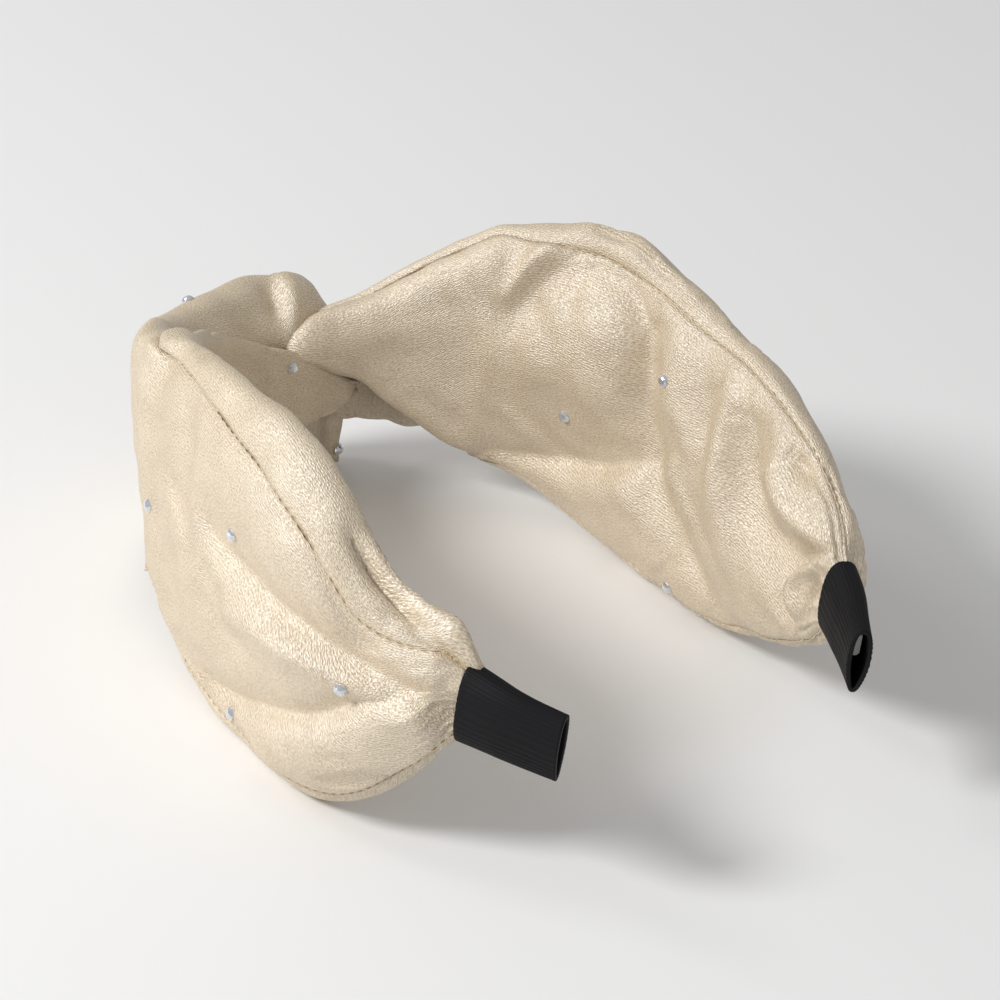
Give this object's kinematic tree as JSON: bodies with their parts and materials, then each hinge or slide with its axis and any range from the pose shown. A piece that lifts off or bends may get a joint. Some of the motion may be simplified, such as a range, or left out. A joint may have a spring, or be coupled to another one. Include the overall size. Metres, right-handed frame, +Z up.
{
  "type": "knotted headband",
  "caption": "Wide padded satin headband with a turban knot at the crown, small crystals and black ribbon-bound hoop ends, lying on its lower edge.",
  "frame": {"origin": "middle of the footprint of the band, on the surface that its lower edge lies on", "axes": "+Z up along the band's width; +Y towards the knot at the crown; the two open ends point to -Y; the right arm is at +X"},
  "size_m": [0.1366, 0.1674, 0.0734],
  "materials": {
    "satin": "champagne crepe-back satin, soft sheen",
    "thread": "matt spun thread",
    "wadding": "white polyester wadding",
    "ribbon": "black grosgrain ribbon with fine lengthwise ribs",
    "crystal": "clear cut, foil back",
    "hoop": "smooth moulded"
  },
  "bodies": {
    "crown": {"hoop": "hoop", "left_strip_loop": "satin", "right_strip_loop": "satin", "knot_crystal_01": "crystal", "knot_crystal_02": "crystal", "knot_crystal_03": "crystal", "knot_crystal_04": "crystal", "knot_crystal_05": "crystal"},
    "left_arm": {"left_cover_outer_leg": "satin", "left_cover_inner_leg": "satin", "left_wadding_outer": "wadding", "left_wadding_inner": "wadding", "left_seam_top": "thread", "left_seam_bottom": "thread", "left_end_sleeve": "ribbon", "left_crystal_01": "crystal", "left_crystal_02": "crystal", "left_crystal_03": "crystal", "left_crystal_04": "crystal", "left_crystal_05": "crystal", "left_crystal_06": "crystal", "left_crystal_07": "crystal", "left_crystal_08": "crystal", "left_crystal_09": "crystal"},
    "right_arm": {"right_cover_outer_leg": "satin", "right_cover_inner_leg": "satin", "right_wadding_outer": "wadding", "right_wadding_inner": "wadding", "right_seam_top": "thread", "right_seam_bottom": "thread", "right_end_sleeve": "ribbon", "right_crystal_01": "crystal", "right_crystal_02": "crystal", "right_crystal_03": "crystal", "right_crystal_04": "crystal", "right_crystal_05": "crystal", "right_crystal_06": "crystal", "right_crystal_07": "crystal", "right_crystal_08": "crystal"}
  },
  "joints": [
    {"name": "left_spread", "type": "hinge", "parent": "crown", "child": "left_arm", "pos_m": [-0.04282, 0.04963, 0.0365], "axis": [0, 0, -1], "range_deg": [-5, 12], "stiffness_Nm_per_rad": 1.6, "deforming": ["hoop"]},
    {"name": "right_spread", "type": "hinge", "parent": "crown", "child": "right_arm", "pos_m": [0.04102, 0.04963, 0.0365], "axis": [0, 0, 1], "range_deg": [-5, 12], "stiffness_Nm_per_rad": 1.6, "deforming": ["hoop"]}
  ]
}
